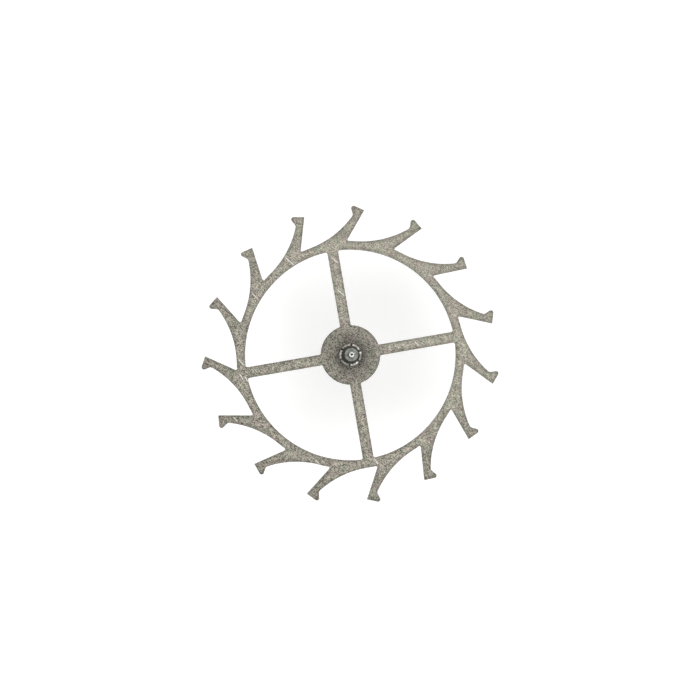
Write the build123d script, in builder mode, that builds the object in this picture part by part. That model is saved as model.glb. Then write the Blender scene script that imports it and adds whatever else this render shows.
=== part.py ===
from build123d import *
import os
from math import atan2, cos, degrees, hypot, radians, sin

# Escape wheel and pinion of a wristwatch's lever escapement, in millimetres and degrees.
# The wheel is a flat steel disc cut to shape. It sits on the turned-down leaf ends of a steel
# pinion, which is one piece with its arbor and both pivots, and a lip turned on those ends is
# riveted over it.
# +Z points to the bridge side of the movement, from where the wheel turns clockwise.
# The origin is on the axis, on the shoulder of the lower pivot.

# Wheel disc
heel_circle_radius = 2.25
tooth_height = 0.532
rim_width = 0.132
hub_radius = 0.45
arm_width = 0.165
wheel_thickness = 0.12
window_rim_rounding = 0.027
window_hub_rounding = 0.015
tooth_count = 15
arm_count = 4
first_heel_angle = 16.8
first_arm_angle = 9.8

# Club tooth: slopes and leans are taken from the radius through the heel
impulse_face_length = 0.162
impulse_face_slope = 22.9
locking_face_lean = 28.9
neck_thickness = 0.113
hook_lean = 16.9
heel_rounding = 0.036
neck_rounding = 0.052
root_rounding = 0.02
back_start_pitch_share = 0.919

# Pinion along its axis, from the end of the lower pivot upwards
lower_pivot_length = 0.18
lower_arbor_length = 0.32
leaf_length = 0.88
rivet_height = 0.032
upper_arbor_length = 0.58
upper_pivot_length = 0.18

# Pinion across its axis
pivot_radius = 0.045
pivot_end_rounding = 0.02
pivot_shoulder_width = 0.022
shoulder_cone_width = 0.033
shoulder_cone_length = 0.07
rivet_groove_width = 0.028
rivet_groove_depth = 0.075
rivet_lip_thickness = 0.027
rivet_overhang = 0.018
rivet_slit_width = 0.012
rivet_rounding = 0.012

# Pinion leaves
leaf_count = 6
first_leaf_angle = -5.0
leaf_module = 0.078
leaf_thickness_module_share = 1.05
leaf_addendum_module_share = 0.67
leaf_dedendum_module_share = 1.2
leaf_root_rounding = 0.012
leaf_end_chamfer = 0.02

# What follows from the sizes above
tooth_pitch = 360 / tooth_count
root_circle_radius = heel_circle_radius - tooth_height
rim_inner_radius = root_circle_radius - rim_width
back_start_angle = 90 + back_start_pitch_share * tooth_pitch
leaf_pitch = 360 / leaf_count
leaf_pitch_radius = leaf_module * leaf_count / 2
leaf_tip_radius = leaf_pitch_radius + leaf_addendum_module_share * leaf_module
leaf_root_radius = leaf_pitch_radius - leaf_dedendum_module_share * leaf_module
leaf_half_angle = degrees(leaf_thickness_module_share * leaf_module / leaf_pitch_radius / 2)
pivot_shoulder_radius = pivot_radius + pivot_shoulder_width
arbor_radius = pivot_shoulder_radius + shoulder_cone_width
rivet_groove_radius = arbor_radius + rivet_groove_width
seat_radius = rivet_groove_radius + rivet_lip_thickness
rivet_radius = seat_radius + rivet_overhang
leaf_bottom = lower_arbor_length
wheel_bottom = leaf_bottom + leaf_length
wheel_top = wheel_bottom + wheel_thickness
upper_shoulder = wheel_top + upper_arbor_length
upper_pivot_end = upper_shoulder + upper_pivot_length


def heading(angle):
    """Unit vector at an angle from +X."""
    return Vector(cos(radians(angle)), sin(radians(angle)))


def axis_distance(vertex):
    """Distance of a vertex from the wheel's axis."""
    return hypot(vertex.X, vertex.Y)


# One tooth, drawn with its heel at the top of the wheel and leaning clockwise: the back rises
# from the root circle to the neck, the hook turns out to the rounded heel, the impulse face
# slopes to the sharp locking corner, and the locking face cuts back under it to the root.
with BuildLine() as tooth_line:
    heel = CenterArc(
        heading(90) * (heel_circle_radius - heel_rounding),
        heel_rounding,
        90 - impulse_face_slope,
        90 + impulse_face_slope + hook_lean,
    )
    impulse_face = PolarLine(heel @ 0, impulse_face_length, -impulse_face_slope)
    locking_corner = impulse_face @ 1
    back_side = heading(180 - locking_face_lean) * neck_thickness
    root_circle = CenterArc((0, 0), root_circle_radius, 0, 180, mode=Mode.PRIVATE)
    locking_face = IntersectingLine(
        locking_corner, heading(-90 - locking_face_lean), root_circle
    )
    back_line = Line(
        locking_corner + back_side, locking_face @ 1 + back_side, mode=Mode.PRIVATE
    )
    hook = IntersectingLine(heel @ 1, heading(hook_lean - 90), back_line)
    TangentArc(
        heading(back_start_angle) * root_circle_radius,
        hook @ 1,
        tangent=heading(back_start_angle - 90),
    )
    locking_root = locking_face @ 1
    locking_root_angle = degrees(atan2(locking_root.Y, locking_root.X))
    next_back_start_angle = back_start_angle - tooth_pitch
    CenterArc(
        (0, 0),
        root_circle_radius,
        locking_root_angle,
        next_back_start_angle - locking_root_angle,
    )
    fillet(tooth_line.vertices().sort_by_distance(hook @ 1)[0], neck_rounding)
    fillet(tooth_line.vertices().sort_by_distance(locking_root)[0], root_rounding)

# Wheel disc: the toothed outline, the windows between its arms, and the bore for the pinion
with BuildPart() as escape_wheel:
    with BuildSketch(Plane.XY.offset(wheel_bottom)):
        with BuildLine():
            with PolarLocations(0, tooth_count, start_angle=first_heel_angle - 90):
                add(tooth_line.line)
        make_face()
    extrude(amount=wheel_thickness)
    with BuildSketch(Plane.XY.offset(wheel_bottom)) as window_plan:
        Circle(rim_inner_radius)
        Circle(hub_radius, mode=Mode.SUBTRACT)
        with PolarLocations(0, arm_count, start_angle=first_arm_angle):
            Rectangle(
                root_circle_radius,
                arm_width,
                align=(Align.MIN, Align.CENTER),
                mode=Mode.SUBTRACT,
            )
        fillet(window_plan.vertices().group_by(axis_distance)[-1], window_rim_rounding)
        fillet(window_plan.vertices().group_by(axis_distance)[0], window_hub_rounding)
    extrude(amount=wheel_thickness, mode=Mode.SUBTRACT)
    with BuildSketch(Plane.XY.offset(wheel_bottom)):
        Circle(seat_radius)
    extrude(amount=wheel_thickness, mode=Mode.SUBTRACT)

# One pinion leaf, pointing along +X: radial flanks and a rounded tip
with BuildSketch() as leaf_plan:
    with BuildLine():
        flank = Line(
            heading(leaf_half_angle) * leaf_root_radius / 2,
            heading(leaf_half_angle) * leaf_pitch_radius,
        )
        TangentArc(flank @ 1, (leaf_tip_radius, 0), tangent=flank % 1)
        mirror(about=Plane.XZ)
        Line(flank @ 0, heading(-leaf_half_angle) * leaf_root_radius / 2)
    make_face()

# Rivet: a lip round a groove, slit between the leaves and spread over the wheel
with BuildPart() as rivet_heads:
    with BuildSketch(Plane.XY.offset(wheel_top)):
        Circle(rivet_radius)
        with PolarLocations(0, leaf_count, start_angle=first_leaf_angle + leaf_pitch / 2):
            Rectangle(
                rivet_radius,
                rivet_slit_width,
                align=(Align.MIN, Align.CENTER),
                mode=Mode.SUBTRACT,
            )
    extrude(amount=rivet_height)
    with BuildSketch(Plane.XZ) as lip_section:
        with Locations((rivet_groove_radius, wheel_top)):
            Rectangle(
                rivet_radius - rivet_groove_radius,
                rivet_height,
                align=(Align.MIN, Align.MIN),
            )
        fillet(lip_section.vertices().group_by(Axis.Y)[-1], rivet_rounding)
    revolve(mode=Mode.INTERSECT)

# Pinion: leaves cut through a turned blank, the seat that the wheel sits on, and the arbor
with BuildPart() as escape_pinion:
    with BuildSketch(Plane.XY.offset(leaf_bottom)) as leaf_section:
        Circle(leaf_root_radius)
        with PolarLocations(0, leaf_count, start_angle=first_leaf_angle):
            add(leaf_plan.sketch)
        fillet(leaf_section.vertices().group_by(axis_distance)[0], leaf_root_rounding)
    extrude(amount=wheel_top - leaf_bottom)
    with BuildSketch(Plane.XZ):
        with BuildLine():
            Polyline(
                (0, leaf_bottom),
                (leaf_tip_radius - leaf_end_chamfer, leaf_bottom),
                (leaf_tip_radius + leaf_end_chamfer, leaf_bottom + 2 * leaf_end_chamfer),
                (leaf_tip_radius + leaf_end_chamfer, wheel_bottom),
                (seat_radius, wheel_bottom),
                (seat_radius, wheel_top),
                (rivet_groove_radius, wheel_top),
                (rivet_groove_radius, wheel_top - rivet_groove_depth),
                (0, wheel_top - rivet_groove_depth),
                close=True,
            )
        make_face()
    revolve(mode=Mode.INTERSECT)
    add(rivet_heads.part)
    with BuildSketch(Plane.XZ) as arbor_section:
        with BuildLine():
            Polyline(
                (0, -lower_pivot_length),
                (pivot_radius, -lower_pivot_length),
                (pivot_radius, 0),
                (pivot_shoulder_radius, 0),
                (arbor_radius, shoulder_cone_length),
                (arbor_radius, upper_shoulder - shoulder_cone_length),
                (pivot_shoulder_radius, upper_shoulder),
                (pivot_radius, upper_shoulder),
                (pivot_radius, upper_pivot_end),
                (0, upper_pivot_end),
                close=True,
            )
        make_face()
        pivot_rims = arbor_section.vertices().group_by(Axis.X)[1].sort_by(Axis.Y)
        fillet([pivot_rims[0], pivot_rims[-1]], pivot_end_rounding)
    revolve()

escape_wheel.part.label = "escape_wheel"
escape_pinion.part.label = "escape_pinion"
os.makedirs("parts", exist_ok=True)
export_step(escape_wheel.part, "parts/escape_wheel.step")
export_step(escape_pinion.part, "parts/escape_pinion.step")
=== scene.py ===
from cmath import phase, rect
from math import cos, degrees, pi, radians, sin, sqrt, tan

import bmesh
import bpy
from mathutils import Matrix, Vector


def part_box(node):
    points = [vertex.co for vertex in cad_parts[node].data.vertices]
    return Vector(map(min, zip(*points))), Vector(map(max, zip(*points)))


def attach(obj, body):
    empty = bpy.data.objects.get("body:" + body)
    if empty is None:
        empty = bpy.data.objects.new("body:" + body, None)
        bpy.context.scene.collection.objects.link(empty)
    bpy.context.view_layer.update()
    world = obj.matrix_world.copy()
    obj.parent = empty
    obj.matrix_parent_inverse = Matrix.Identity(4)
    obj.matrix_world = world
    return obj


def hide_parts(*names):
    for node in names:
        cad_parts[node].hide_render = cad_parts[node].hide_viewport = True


# Escape wheel of a wristwatch, riveted on its pinion. +Z is the bridge side.
# Outlines are complex numbers, x + yj, in millimetres from the axis, and angles are in
# degrees. Meshes are drawn in millimetres too, and brought to metres when they are done.
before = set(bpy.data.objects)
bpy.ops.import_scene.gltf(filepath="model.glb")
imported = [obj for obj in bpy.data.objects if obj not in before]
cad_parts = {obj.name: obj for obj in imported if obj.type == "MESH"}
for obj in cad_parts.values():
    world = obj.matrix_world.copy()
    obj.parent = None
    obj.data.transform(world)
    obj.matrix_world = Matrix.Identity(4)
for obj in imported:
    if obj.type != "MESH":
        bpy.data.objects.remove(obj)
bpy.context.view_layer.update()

# Pinion: polished hardened steel, one piece with its arbor and both pivots, turned between
# centres. Six leaves are cut from the solid. A groove turned into their upper end leaves a
# thin lip, which is spread over the wheel in six lumps and holds it.
mm = 0.001
wheel_bottom, wheel_top = (corner.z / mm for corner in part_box("escape_wheel"))
lower_end, upper_end = (corner.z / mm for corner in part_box("escape_pinion"))
pivot_length = 0.18
pivot_radius = 0.045
pivot_dome_height = 0.02
centre_mark_radius = 0.015
centre_mark_depth = 0.012
shoulder_radius = 0.067
cone_length = 0.07
arbor_radius = 0.1
leaf_bottom = 0.32
leaf_count = 6
first_leaf_angle = -5.0
leaf_half_angle = 10.03
leaf_root_radius = 0.1404
leaf_root_rounding = 0.012
leaf_pitch_radius = 0.234
leaf_tip_radius = 0.2863
leaf_chamfer = 0.02
seat_radius = 0.155
groove_radius = 0.128
groove_depth = 0.075
lip_radius = 0.173
lip_height = 0.032
lip_seat_depth = 0.009
lump_gap = 4.6
lump_side_width = 0.021
lump_side_height = 0.026
lump_turns = (-11, -8, 10, 8, -8, -7)
lump_side_angles = (12, 9, 18, 12, 9, 20)
lump_crown_height = 0.012
lump_crown_flat = 0.001
rivet_shade_reach = 0.08
bright_side_reach = 0.02
bright_level_reach = 0.03
edge_break = 0.003


def polar(radius, angle):
    """The point at a radius and an angle from +X."""
    return rect(radius, radians(angle))


def angle_of(point):
    """A point's angle from +X."""
    return degrees(phase(point))


def swing(radius, first, last, steps):
    """Points along a circle round the axis, from one angle to another."""
    return [polar(radius, first + (last - first) * k / steps) for k in range(steps + 1)]


def arc(start, direction, end, steps):
    """Points along the arc that leaves its start in a direction and arrives at its end."""
    turn = 2 * phase((end - start) / direction)
    return [
        start + (end - start) * (rect(1, turn * k / steps) - 1) / (rect(1, turn) - 1)
        for k in range(steps + 1)
    ]


def rounded_edge(size, steps=4):
    """How far in and how far down a rounded edge lies, from the face to the wall."""
    turns = [pi / 2 * k / steps for k in range(steps + 1)]
    return [(size * (1 - sin(turn)), size * (1 - cos(turn))) for turn in turns]


def ring(mesh, outline, height):
    """The vertices of an outline at a height."""
    return [mesh.verts.new((point.real, point.imag, height)) for point in outline]


def skin(mesh, rings):
    """Faces from each ring to the next one."""
    for lower, upper in zip(rings, rings[1:]):
        for k in range(len(lower)):
            mesh.faces.new((lower[k - 1], lower[k], upper[k], upper[k - 1]))


leaf_pitch = 360 / leaf_count
fillet_centre_radius = leaf_root_radius + leaf_root_rounding
fillet_angle = leaf_half_angle + degrees(leaf_root_rounding / fillet_centre_radius)
fillet_top_radius = sqrt(fillet_centre_radius**2 - leaf_root_rounding**2)
flank = polar(1, leaf_half_angle)
flank_steps = 3
tip_steps = 8
leaf_root = swing(leaf_root_radius, leaf_pitch / 2, fillet_angle, 8)[:-1]
leaf_root += arc(
    polar(leaf_root_radius, fillet_angle),
    polar(1, fillet_angle - 90),
    fillet_top_radius * flank,
    4,
)
leaf_top = [
    flank * (seat_radius + (leaf_pitch_radius - seat_radius) * k / flank_steps)
    for k in range(flank_steps)
]
leaf_top += arc(leaf_pitch_radius * flank, flank, leaf_tip_radius + 0j, tip_steps)


def all_leaves(half_leaf):
    """The outline round all the leaves, from half a leaf that runs from its gap to its tip."""
    leaf = [point.conjugate() for point in half_leaf] + half_leaf[-2:0:-1]
    return [
        point * polar(1, first_leaf_angle + leaf_pitch * number)
        for number in range(leaf_count)
        for point in leaf
    ]


leaves = all_leaves(leaf_root + leaf_top)
seats = all_leaves(leaf_root + swing(seat_radius, leaf_half_angle, 0, flank_steps + tip_steps))
pinion = bmesh.new()


def turned(radius, height):
    """A turned ring of the pinion."""
    start = first_leaf_angle - leaf_pitch / 2
    return ring(pinion, swing(radius, start, start + 360, len(leaves))[:-1], height)


def milled(outline, radius, height):
    """A ring of the pinion with its leaves, which are turned down to a radius."""
    points = [point * min(1, radius / abs(point)) for point in outline]
    return ring(pinion, points, height)


arbor_end = [(centre_mark_radius / 4, centre_mark_depth)]
arbor_end += [
    (pivot_radius * (1 - inward), pivot_dome_height * drop)
    for inward, drop in rounded_edge(1, 12)
    if pivot_radius * (1 - inward) > centre_mark_radius
]
arbor_end += [
    (pivot_radius, pivot_length - edge_break),
    (pivot_radius + edge_break, pivot_length),
    (shoulder_radius - edge_break, pivot_length),
    (shoulder_radius, pivot_length + edge_break),
    (arbor_radius, pivot_length + cone_length),
    (arbor_radius, pivot_length + cone_length + edge_break),
]
lower_arbor = [turned(radius, lower_end + depth) for radius, depth in arbor_end]
upper_arbor = [turned(radius, upper_end - depth) for radius, depth in reversed(arbor_end)]
lower_arbor.append(turned(arbor_radius, leaf_bottom - edge_break))
lower_arbor.append(turned(arbor_radius + edge_break, leaf_bottom))
groove_bottom = wheel_top - groove_depth
lip_bottom = wheel_top - lip_seat_depth
leaf_rings = [
    milled(leaves, leaf_tip_radius - leaf_chamfer, leaf_bottom),
    milled(leaves, leaf_tip_radius, leaf_bottom + leaf_chamfer),
    milled(leaves, leaf_tip_radius, wheel_bottom - edge_break),
    milled(leaves, leaf_tip_radius - edge_break, wheel_bottom),
    milled(seats, seat_radius, wheel_bottom),
    milled(seats, seat_radius, lip_bottom),
    turned(groove_radius, lip_bottom),
    turned(groove_radius, groove_bottom),
    turned(arbor_radius, groove_bottom),
]
skin(pinion, lower_arbor + leaf_rings + upper_arbor)
pinion.faces.new(lower_arbor[0])
pinion.faces.new(upper_arbor[-1])

# One lump: how far in its sides have come, and how high, from its foot to its top
lip_top = wheel_top + lip_height
lump_levels = [
    (inward, lip_top - drop * lump_side_height) for inward, drop in reversed(rounded_edge(1, 8))
]
for number, (lump_turn, lump_side_angle) in enumerate(zip(lump_turns, lump_side_angles)):
    leaf_angle = first_leaf_angle + leaf_pitch * number
    lump = [(leaf_angle, leaf_pitch / 2, groove_radius, lip_radius, lip_bottom)]
    lump += [
        (
            leaf_angle + inward * lump_turn,
            leaf_pitch / 2 - lump_gap / 2 - inward * lump_side_angle,
            groove_radius + inward * lump_side_width,
            lip_radius - inward * lump_side_width,
            height,
        )
        for inward, height in lump_levels
    ]
    rings = []
    for middle, half_angle, inner, outer, height in lump:
        outline = swing(outer, middle - half_angle, middle + half_angle, 24)
        outline += swing(inner, middle + half_angle, middle - half_angle, 24)
        rings.append(ring(pinion, outline, height))
    skin(pinion, rings)
    pinion.faces.new(rings[0])
    pinion.faces.new(rings[-1])


class Wire:
    """A socket of the shader nodes, on which sums can be written."""

    def __init__(self, socket):
        self.socket = socket

    def node(self, kind, settings, inputs, output=0):
        """One output of a new node. Its settings come first, then its inputs' values or wires."""
        made = self.socket.id_data.nodes.new("ShaderNode" + kind)
        for setting, value in settings.items():
            setattr(made, setting, value)
        for place, value in inputs.items():
            if isinstance(value, Wire):
                self.socket.id_data.links.new(value.socket, made.inputs[place])
            else:
                made.inputs[place].default_value = value
        return Wire(made.outputs[output])

    def math(self, operation, *numbers):
        """A sum on numbers or wires."""
        return self.node("Math", {"operation": operation}, dict(enumerate(numbers)))

    def __add__(self, other):
        return self.math("ADD", self, other)

    def __sub__(self, other):
        return self.math("SUBTRACT", self, other)

    def __rsub__(self, other):
        return self.math("SUBTRACT", other, self)

    def __mul__(self, other):
        return self.math("MULTIPLY", self, other)

    __radd__ = __add__
    __rmul__ = __mul__

    def rise(self, low, high):
        """0 up to the low value and 1 from the high one, with a smooth rise between them."""
        inputs = {"Value": self, "From Min": low, "From Max": high}
        return self.node("MapRange", {"interpolation_type": "SMOOTHSTEP"}, inputs)

    def mix(self, colour, other, way="MIX"):
        """The first colour where this is 0, and the other on it where this is 1."""
        settings = {"data_type": "RGBA", "blend_type": way}
        return self.node("Mix", settings, {"Factor": self, 6: colour, 7: other}, 2)

    def mixed(self, other, way):
        """This colour with the other one laid on it."""
        settings = {"data_type": "RGBA", "blend_type": way}
        return self.node("Mix", settings, {"Factor": 1.0, 6: self, 7: other}, 2)

    def drawn_out(self, scale, angle=0):
        """These coordinates scaled along and across a direction of the wheel's face."""
        turned_back = self.node(
            "VectorRotate", {"rotation_type": "Z_AXIS"}, {"Vector": self, "Angle": radians(-angle)}
        )
        return self.node("VectorMath", {"operation": "MULTIPLY"}, {0: turned_back, 1: scale})

    def noise(self, scale=1.0, detail=1.0):
        """Noise between 0 and 1 over these coordinates."""
        return self.node("TexNoise", {}, {"Vector": self, "Scale": scale, "Detail": detail})

    def part_of(self, axis):
        """One of these coordinates."""
        return self.node("SeparateXYZ", {}, {"Vector": self}, axis)

    def size(self):
        """This number without its sign."""
        return self.node("Math", {"operation": "ABSOLUTE"}, {0: self})

    def off_axis(self):
        """How far these coordinates lie from the axis."""
        flat = self.drawn_out((1, 1, 0))
        return self.node("VectorMath", {"operation": "LENGTH"}, {0: flat}, "Value")

    def nearness_to_line(self, start, end, width):
        """1 on the line between two points of the wheel's face, and 0 beside it."""
        middle = (start + end) / 2
        settings = {"operation": "SUBTRACT"}
        from_middle = self.node("VectorMath", settings, {0: self, 1: (middle.real, middle.imag, 0)})
        along_line = from_middle.drawn_out((1, 1, 0), angle_of(end - start))
        along = along_line.part_of("X").size()
        across = along_line.part_of("Y").size()
        reach = abs(end - start) / 2
        return (1 - across.rise(0, width)) * (1 - along.rise(reach * 0.7, reach))

    def near_edges(self, reach):
        """1 at the edges of the metal, down to 0 at a reach in from them."""
        settings = {"inside": True, "only_local": True, "samples": 8}
        return 2 - 2 * self.node("AmbientOcclusion", settings, {"Distance": reach * mm}, "AO")


def bare_steel(name):
    """A new metal, its shader, and the coordinates of its surface in millimetres."""
    material = bpy.data.materials.new(name)
    material.use_nodes = True
    shader = material.node_tree.nodes["Principled BSDF"]
    shader.inputs["Metallic"].default_value = 1.0
    place = Wire(material.node_tree.nodes.new("ShaderNodeTexCoord").outputs["Object"])
    return material, shader, place.drawn_out((1 / mm,) * 3)


def finish_steel(shader, colour, roughness, relief, relief_depth):
    """Joins a colour, a roughness and a relief, in millimetres, to a metal's shader."""
    bump = relief.node("Bump", {}, {"Height": relief, "Distance": relief_depth * mm})
    for wire, name in ((colour, "Base Color"), (roughness, "Roughness"), (bump, "Normal")):
        shader.id_data.links.new(wire.socket, shader.inputs[name])


pinion_steel, shader, place = bare_steel("polished_pinion_steel")
height = place.part_of("Z")
off_axis = place.off_axis()
on_leaves = off_axis.rise(groove_radius, leaf_root_radius) * (1 - height.rise(wheel_bottom, wheel_top))
turning_lines = place.node("CombineXYZ", {}, {0: off_axis, 1: height}).noise(150.0)
polishing_lines = place.drawn_out((90, 90, 4)).noise()
lines = on_leaves * (polishing_lines - turning_lines) + turning_lines
mottle = place.noise(34.0, 2.0).rise(0.35, 0.65)
colour = mottle.mix((0.44, 0.43, 0.4, 1), (0.56, 0.55, 0.51, 1))
# Painted highlight: the burnished pivot ends are painted brighter, in bright spots
painted_dome_highlight = 1 - off_axis.rise(pivot_radius - edge_break, pivot_radius)
colour = painted_dome_highlight.mix(colour, mottle.mix((0.4, 0.39, 0.36, 1), (0.8, 0.79, 0.74, 1)))
# Painted shade: the cones and the arbor next to them are painted darker and greener
cone_end = pivot_length + cone_length
near_cones = 1 - height.rise(lower_end + cone_end, lower_end + 2 * cone_end)
near_cones = near_cones + height.rise(upper_end - 2 * cone_end, upper_end - cone_end)
near_cones = near_cones * off_axis.rise(pivot_radius, pivot_radius + edge_break)
colour = near_cones.mix(colour, mottle.mix((0.16, 0.175, 0.16, 1), (0.27, 0.285, 0.26, 1)))
# Painted shade: the groove is darkened in colour
painted_groove_shade = height.rise(groove_bottom - edge_break, groove_bottom) - height.rise(
    wheel_top - groove_depth / 2, wheel_top
)
painted_groove_shade = painted_groove_shade * (1 - off_axis.rise(groove_radius, groove_radius + edge_break))
colour = painted_groove_shade.mix(colour, (0.5, 0.5, 0.5, 1), "MULTIPLY")
# Painted shade: the centre marks are darkened in colour
painted_mark_shade = 1 - off_axis.rise(centre_mark_radius, centre_mark_radius + edge_break)
colour = painted_mark_shade.mix(colour, (0.1, 0.1, 0.1, 1), "MULTIPLY")
hammered = off_axis.rise(groove_radius - edge_break, groove_radius) * height.rise(
    wheel_bottom, wheel_top
)
# Painted highlight: the crowns of the lumps are painted bright in patches
painted_lump_highlight = hammered * height.rise(lip_top - lump_crown_height, lip_top - lump_crown_flat)
painted_lump_highlight = painted_lump_highlight * place.noise(22.0, 1.0).rise(0.44, 0.58)
colour = painted_lump_highlight.mix(colour, (0.95, 0.93, 0.87, 1))
on_left = 1 - place.part_of("X").rise(-rivet_shade_reach, bright_side_reach)
off_level = place.part_of("Y").size().rise(bright_level_reach, rivet_shade_reach)
# The rivet is painted darker on its upper left and its lower left, as painted shade, and is duller in
# random patches
dull_and_shaded_rivet = place.noise(14.0, 1.0).rise(0.45, 0.6) * 0.55 + on_left * off_level * 0.75
dull_and_shaded_rivet = dull_and_shaded_rivet * hammered
colour = dull_and_shaded_rivet.mix(colour, (0.42, 0.42, 0.38, 1), "MULTIPLY")
dents = place.noise(38.0, 2.0) * hammered * 4.0
roughness = lines * 0.12 + 0.1 + near_cones * 0.15 + hammered * 0.22
finish_steel(shader, colour, roughness, lines + dents, 0.0006)


def finished(mesh, name, materials):
    """The drawn mesh as a piece in metres, smooth but with its flats kept flat."""
    bmesh.ops.remove_doubles(mesh, verts=mesh.verts, dist=mm / 20)
    bmesh.ops.recalc_face_normals(mesh, faces=mesh.faces)
    piece = bpy.data.objects.new(name, bpy.data.meshes.new(name))
    mesh.to_mesh(piece.data)
    mesh.free()
    bpy.context.scene.collection.objects.link(piece)
    for material in materials:
        piece.data.materials.append(material)
    piece.data.shade_smooth()
    piece.data.set_sharp_from_angle(angle=radians(50))
    flats = piece.modifiers.new("flats", "WEIGHTED_NORMAL")
    flats.keep_sharp = True
    smoothed = piece.evaluated_get(bpy.context.evaluated_depsgraph_get())
    piece.data = bpy.data.meshes.new_from_object(smoothed)
    piece.modifiers.clear()
    piece.data.name = name
    piece.data.transform(Matrix.Scale(mm, 4))
    return piece


piece = finished(pinion, "pinion_with_arbor", [pinion_steel])
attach(piece, "root")
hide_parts("escape_pinion")

# Wheel: a disc of hardened steel, cut to shape with 15 club teeth and four arms, and
# frosted on both faces. Its bore sits on the turned-down leaves, and the riveting punch
# has left a shallow burnished ring round the lip.
heel_circle_radius = 2.25
tooth_height = 0.532
rim_width = 0.132
hub_radius = 0.45
arm_width = 0.165
tooth_count = 15
arm_count = 4
first_heel_angle = 16.8
first_arm_angle = 9.8
impulse_face_length = 0.162
impulse_face_slope = 22.9
locking_face_lean = 28.9
locking_corner_rounding = 0.008
neck_thickness = 0.113
hook_lean = 16.9
heel_rounding = 0.036
neck_rounding = 0.052
root_rounding = 0.02
back_start_pitch_share = 0.919
window_rim_rounding = 0.027
window_hub_rounding = 0.015
wheel_edge_break = 0.006
punch_ring_radius = 0.25
punch_ring_depth = 0.009
punch_ring_blur = 0.02
hub_shade_reach = 0.15
tooth_shade_reach = 0.1
edge_shade_width = 0.065
lit_side, shaded_side = 1.5, -3
flat_light_end, steep_light_end = 2.2, -1
flat_light_share = 0.28
grain_fineness = 105.0
stroke_fineness = (30, 105, 30)
stroke_angle, cross_stroke_angle = -42, 34
scratch_width = 0.011
frosting_scratches = (
    (-0.292 + 1.475j, -0.184 + 1.381j),
    (-0.212 + 0.993j, -0.083 + 0.884j),
    (-1.480 + 0.928j, -1.395 + 0.841j),
    (-0.991 + 1.475j, -0.846 + 1.345j),
    (-1.694 - 0.061j, -1.604 - 0.159j),
    (-1.672 - 0.280j, -1.611 - 0.385j),
    (-1.596 - 0.317j, -1.536 - 0.415j),
    (-1.760 - 0.935j, -1.695 - 1.010j),
    (-0.535 - 1.575j, -0.467 - 1.643j),
    (0.346 - 1.545j, 0.422 - 1.650j),
    (0.964 + 0.202j, 1.039 + 0.127j),
)


def rounding(before, corner, after, radius, steps=5):
    """The arc that rounds a corner between the points before and after it."""
    back = (before - corner) / abs(before - corner)
    ahead = (after - corner) / abs(after - corner)
    reach = radius / tan(abs(phase(ahead / back)) / 2)
    return arc(corner + back * reach, -back, corner + ahead * reach, steps)


def cross(first, second):
    """The cross product of two directions."""
    return (first.conjugate() * second).imag


# One tooth, leaning clockwise with its heel at the top: up its back, over the heel, along
# the impulse face to the locking corner, and down the locking face to the next root
root_radius = heel_circle_radius - tooth_height
rim_inner_radius = root_radius - rim_width
tooth_pitch = 360 / tooth_count
heel_centre = (heel_circle_radius - heel_rounding) * 1j
hook_angle = 180 + hook_lean
impulse_angle = 90 - impulse_face_slope
heel = [
    heel_centre + point for point in swing(heel_rounding, hook_angle, impulse_angle, 12)
]
locking_corner = heel[-1] + polar(impulse_face_length, -impulse_face_slope)
locking_direction = polar(1, -90 - locking_face_lean)
inward = (locking_corner.conjugate() * locking_direction).real
locking_drop = -inward - sqrt(inward**2 - abs(locking_corner) ** 2 + root_radius**2)
locking_root = locking_corner + locking_direction * locking_drop
back_side = polar(neck_thickness, 180 - locking_face_lean)
hook_direction = polar(1, hook_lean - 90)
hook_length = cross(locking_corner + back_side - heel[0], locking_direction) / cross(
    hook_direction, locking_direction
)
neck = heel[0] + hook_direction * hook_length
back_start_angle = 90 + back_start_pitch_share * tooth_pitch
back = arc(polar(root_radius, back_start_angle), polar(1, back_start_angle - 90), neck, 26)
tooth = back[:-1]
tooth += rounding(back[-2], neck, heel[0], neck_rounding)
tooth += heel
tooth += rounding(heel[-1], locking_corner, locking_root, locking_corner_rounding, 3)
root_direction = polar(1, angle_of(locking_root) - 90)
tooth += rounding(locking_corner, locking_root, locking_root + root_direction, root_rounding)
tooth += swing(root_radius, angle_of(tooth[-1]), back_start_angle - tooth_pitch, 4)[1:-1]
toothed_rim = [
    point * polar(1, first_heel_angle - 90 - tooth_pitch * number)
    for number in range(tooth_count)
    for point in tooth
][::-1]

# One window between two arms: along the rim, in along the first arm, along the hub, and out
# along the second arm, which lies at a right angle to the first
half_arm = arm_width / 2
rim_corner = sqrt(rim_inner_radius**2 - half_arm**2) + half_arm * 1j
hub_corner = sqrt(hub_radius**2 - half_arm**2) + half_arm * 1j
far_hub_corner = hub_corner.conjugate() * 1j
far_rim_corner = rim_corner.conjugate() * 1j
window = rounding(rim_corner * (1 + 1j), rim_corner, hub_corner, window_rim_rounding)
window += rounding(rim_corner, hub_corner, hub_corner * (1 + 1j), window_hub_rounding)
window += rounding(
    far_hub_corner * (1 - 1j), far_hub_corner, far_rim_corner, window_hub_rounding
)
window += rounding(
    far_hub_corner, far_rim_corner, far_rim_corner * (1 - 1j), window_rim_rounding
)
corner_points = len(window) // 4
hub_side = swing(
    hub_radius, angle_of(window[2 * corner_points - 1]), angle_of(window[2 * corner_points]), 18
)
rim_side = swing(rim_inner_radius, angle_of(window[-1]), angle_of(window[0]), 48)
window = window[: 2 * corner_points] + hub_side[1:-1] + window[2 * corner_points :]
window += rim_side[1:-1]
bore = swing(seat_radius, 0, -360, 96)[:-1]
wheel = bmesh.new()


def drawn_in(outline, distance):
    """A closed outline moved into the metal on its left."""
    sides = [
        (end - start) / abs(end - start)
        for start, end in zip(outline, outline[1:] + outline[:1])
    ]
    return [
        point + 2j * distance * (before + after) / abs(before + after) ** 2
        for point, before, after in zip(outline, sides[-1:] + sides[:-1], sides)
    ]


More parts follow.
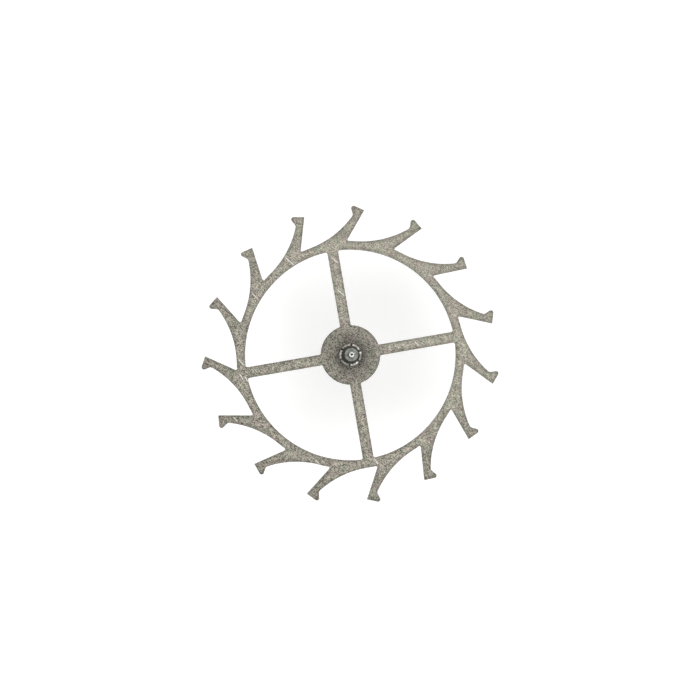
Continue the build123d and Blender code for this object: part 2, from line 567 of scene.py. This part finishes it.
def cut(outline, top_edge, bottom_edge):
    """The wall of a cut, from the lower face's edge to the upper one's."""
    rings = [
        ring(wheel, drawn_in(outline, inset), wheel_bottom + depth)
        for inset, depth in bottom_edge
    ]
    rings += [
        ring(wheel, drawn_in(outline, inset), wheel_top - depth)
        for inset, depth in reversed(top_edge)
    ]
    skin(wheel, rings)
    return rings[0], rings[-1]


broken_edge = rounded_edge(wheel_edge_break, 3)
punch_ring_width = punch_ring_radius - seat_radius
punched_edge = [
    (punch_ring_width, 0),
    (punch_ring_width - punch_ring_depth, punch_ring_depth / 3),
    (punch_ring_width - 2 * punch_ring_depth, punch_ring_depth),
    (0, punch_ring_depth),
]
cuts = [cut(toothed_rim, broken_edge, broken_edge)]
for number in range(arm_count):
    arm_direction = polar(1, first_arm_angle + 90 * number)
    cuts.append(cut([point * arm_direction for point in window], broken_edge, broken_edge))
cuts.append(cut(bore, punched_edge, rounded_edge(edge_break, 1)))
for rims in zip(*cuts):
    edges = [wheel.edges.get((rim[k - 1], rim[k])) for rim in rims for k in range(len(rim))]
    bmesh.ops.triangle_fill(wheel, edges=edges, use_beauty=True)
wheel.normal_update()
cut_faces = [face for face in wheel.faces if abs(face.normal.z) < 0.95]
for face in cut_faces:
    face.material_index = 1 if face.calc_center_median().xy.length > punch_ring_radius else 0

# Frosted face: a fine speckle of pale and dark grains and short crossing strokes, beige and
# greenish in patches, and darker on the teeth. Painted light and shade: the speckle is calmer
# towards the upper right, where the light falls flatter, and painted shade darkens the face along its
# edges, towards the lower left, on the hub and in the punched ring
frosted_steel, shader, place = bare_steel("frosted_wheel_steel")
off_axis = place.off_axis()
grains = place.noise(grain_fineness, 0.0)
strokes = place.drawn_out(stroke_fineness, stroke_angle).noise(1.0, 0.0)
cross_strokes = place.drawn_out(stroke_fineness, cross_stroke_angle).noise(1.0, 0.0)
speckle = grains + strokes * 0.55 + cross_strokes * 0.45
colour = speckle.rise(0.77, 1.23).mix((0.185, 0.177, 0.145, 1), (0.84, 0.8, 0.68, 1))
towards_corner = place.part_of("X") + place.part_of("Y")
# Painted light: the speckle is calmed towards the upper right, where the light falls flatter
painted_flat_light = towards_corner.rise(steep_light_end, flat_light_end) * flat_light_share
colour = painted_flat_light.mix(colour, (0.51, 0.49, 0.41, 1))
patches = place.noise(11.0, 2.0).rise(0.3, 0.7)
tint = patches.mix((0.96, 1.01, 0.96, 1), (1.05, 0.99, 1.02, 1))
colour = colour.mixed(tint, "MULTIPLY")
unevenness = place.noise(9.0, 2.0).rise(0.25, 0.75)
colour = unevenness.mix(colour, (0.82, 0.82, 0.82, 1), "MULTIPLY")
colour = towards_corner.rise(lit_side, shaded_side).mix(colour, (0.87, 0.87, 0.87, 1), "MULTIPLY")
on_teeth = off_axis.rise(root_radius, root_radius + tooth_shade_reach)
colour = on_teeth.mix(colour, (0.93, 0.93, 0.93, 1), "MULTIPLY")
# Painted shade: the hub is darkened round the pinion
painted_hub_shade = 1 - off_axis.rise(punch_ring_radius, hub_radius + hub_shade_reach)
colour = painted_hub_shade.mix(colour, (0.635, 0.635, 0.65, 1), "MULTIPLY")
# The punched ring is burnished smoother, and darkened as painted shade round the rivet
punched_and_shaded = 1 - off_axis.rise(punch_ring_radius - punch_ring_blur, punch_ring_radius)
colour = punched_and_shaded.mix(colour, (0.85, 0.85, 0.86, 1), "MULTIPLY")
# Painted shade: the face is darkened along the edges of the metal
painted_edge_shade = place.near_edges(edge_shade_width)
colour = painted_edge_shade.mix(colour, (0.62, 0.62, 0.62, 1), "MULTIPLY")
scratches = 0.0
for start, end in frosting_scratches:
    scratches = place.nearness_to_line(start, end, scratch_width) + scratches
colour = scratches.mix(colour, (1, 0.99, 0.93, 1))
finish_steel(shader, colour, grains * 0.2 + 0.36 - punched_and_shaded * 0.1, speckle, 0.001)

# Cut edges: darker, with lines that the cutter left across the thickness
cut_steel, shader, place = bare_steel("cut_wheel_steel")
cutter_lines = place.drawn_out((75, 75, 4)).noise(1.0, 2.0)
colour = cutter_lines.rise(0.3, 0.7).mix((0.37, 0.36, 0.33, 1), (0.5, 0.49, 0.45, 1))
finish_steel(shader, colour, cutter_lines * 0.2 + 0.15, cutter_lines, 0.0006)

piece = finished(wheel, "wheel_disc", [frosted_steel, cut_steel])
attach(piece, "root")
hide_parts("escape_wheel")

# Table: a plain white sheet under the lower pivot, lit by a soft white room. What looks at
# it, or mirrors it, sees it a little brighter, so that only the shadow is off white.
floor_reach = 400
floor_brightening = 0.3
table = bmesh.new()
bmesh.ops.create_grid(table, x_segments=1, y_segments=1, size=floor_reach)
bmesh.ops.translate(table, verts=table.verts, vec=(0, 0, lower_end))
white_paper = bpy.data.materials.new("white_paper")
white_paper.use_nodes = True
shader = white_paper.node_tree.nodes["Principled BSDF"]
shader.inputs["Base Color"].default_value = (0.9, 0.9, 0.9, 1)
shader.inputs["Roughness"].default_value = 1.0
shader.inputs["Emission Strength"].default_value = 1.0
rays = white_paper.node_tree.nodes.new("ShaderNodeLightPath").outputs
seen = Wire(rays["Is Camera Ray"]) + Wire(rays["Is Glossy Ray"])
seen = seen + Wire(rays["Is Transmission Ray"])
glow = seen.math("MINIMUM", seen, 1).mix((0, 0, 0, 1), (floor_brightening,) * 3 + (1,))
white_paper.node_tree.links.new(glow.socket, shader.inputs["Emission Color"])
floor = finished(table, "floor", [white_paper])

# Room light: a wide white ring of light round the lens, which is dark itself, in a pale room.
# Flat polished steel mirrors the dark middle, and rounded edges the bright ring. Past the
# table the camera sees plain white.
room = bpy.data.worlds.new("ring_lit_room")
room.use_nodes = True
bpy.context.scene.world = room
direction = Wire(room.node_tree.nodes.new("ShaderNodeTexCoord").outputs["Generated"])
lens_direction = (-0.13, -0.11, 0.985)
settings = {"operation": "DOT_PRODUCT"}
towards_lens = direction.node("VectorMath", settings, {0: direction, 1: lens_direction}, "Value")
ring_light = towards_lens.rise(0.5, 0.75) * (1 - towards_lens.rise(0.8, 0.96))
sky = 0.45 + ring_light * 1.45 - towards_lens.rise(0.93, 0.98) * 0.25
looked_at = Wire(room.node_tree.nodes.new("ShaderNodeLightPath").outputs["Is Camera Ray"])
sky = looked_at.mix(sky, (1, 1, 1, 1))
room.node_tree.links.new(sky.socket, room.node_tree.nodes["Background"].inputs["Color"])

# Camera: straight above the bridge side, a hair to the left, through a long lens
photo_pixels = 700
pixel_size = 0.01506
wheel_centre_right = 0.5
wheel_centre_down = 4.92
camera_tilt_left = 1.7
camera_tilt_down = 0.7
lens = 200
camera_data = bpy.data.cameras.new("camera")
camera_data.lens = lens
distance = photo_pixels * pixel_size * lens / camera_data.sensor_width
camera_data.clip_start = distance / 10 * mm
camera_data.clip_end = 10 * floor_reach * mm
camera = bpy.data.objects.new("camera", camera_data)
camera.rotation_euler = (radians(camera_tilt_down), -radians(camera_tilt_left), 0)
camera.location = (
    (-wheel_centre_right * pixel_size - distance * sin(radians(camera_tilt_left))) * mm,
    (wheel_centre_down * pixel_size - distance * sin(radians(camera_tilt_down))) * mm,
    (wheel_top + distance * cos(radians(camera_tilt_left))) * mm,
)
bpy.context.scene.collection.objects.link(camera)
bpy.context.scene.camera = camera
bpy.context.scene.view_settings.view_transform = "Standard"
